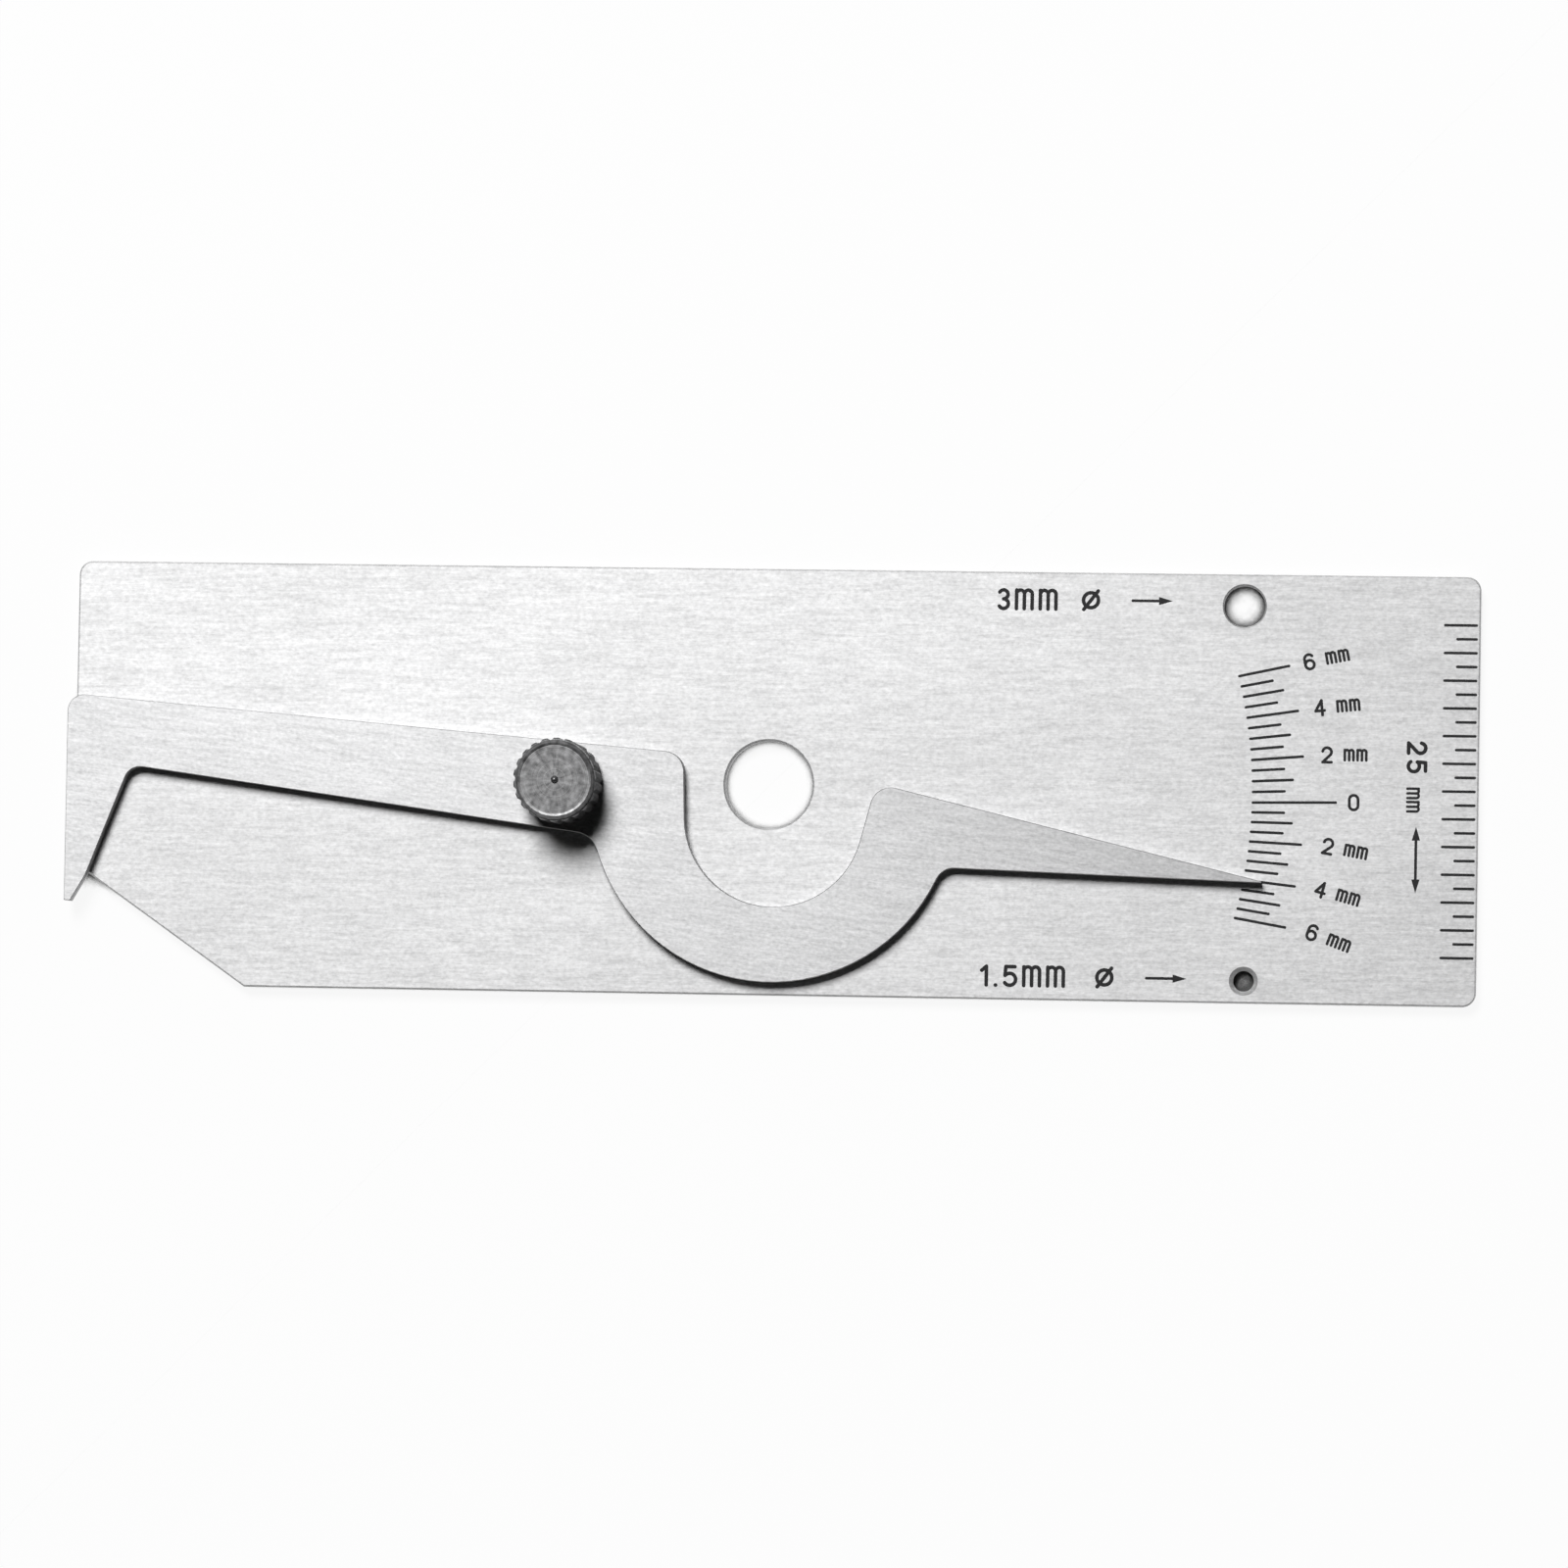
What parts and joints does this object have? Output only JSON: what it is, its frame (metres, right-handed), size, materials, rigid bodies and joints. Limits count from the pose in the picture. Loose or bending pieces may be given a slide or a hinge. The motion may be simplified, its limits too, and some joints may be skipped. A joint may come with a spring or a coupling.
{
  "type": "weld gauge",
  "caption": "Pocket weld gauge: a flat stainless plate with an edge rule and a fan-shaped dial, and a pointer arm that swings on a knurled thumb screw and ends in a probe and a needle.",
  "frame": {"origin": "centre of the hanging hole on the plate's back face", "axes": "+Z out of the marked face, +X along the plate towards the ruled edge, +Y towards the upper long edge"},
  "size_m": [0.1027, 0.031, 0.0073],
  "materials": {
    "plate_steel": "satin, ground along its length",
    "arm_steel": "satin, ground along its length",
    "turned_steel": "fine turned and straight knurled",
    "mark_fill": "matt black filling of the engraved marks"
  },
  "bodies": {
    "plate": {"base_plate": "plate_steel", "pivot_bush": "turned_steel", "edge_scale_marks": "mark_fill", "dial_scale_marks": "mark_fill", "dial_numerals": "mark_fill", "hole_size_marks": "mark_fill", "edge_scale_label": "mark_fill"},
    "arm": {"pointer_arm": "arm_steel"},
    "washer": {"friction_washer": "turned_steel"},
    "screw": {"thumb_screw": "turned_steel"}
  },
  "joints": [
    {"name": "arm_swing", "type": "hinge", "parent": "plate", "child": "arm", "pos_m": [-0.015, -0.0001, 0.00185], "axis": [0, 0, 1], "continuous": true},
    {"name": "washer_lift", "type": "slide", "parent": "plate", "child": "washer", "axis": [0, 0, 1], "range_m": [0, 0.001]},
    {"name": "screw_turn", "type": "hinge", "parent": "washer", "child": "screw", "pos_m": [-0.015, -0.0001, 0.00286], "axis": [0, 0, 1], "range_deg": [0, 720]}
  ],
  "couplings": [
    {"joint": "screw_turn", "follows": "washer_lift", "rad_per_m": 12566}
  ]
}
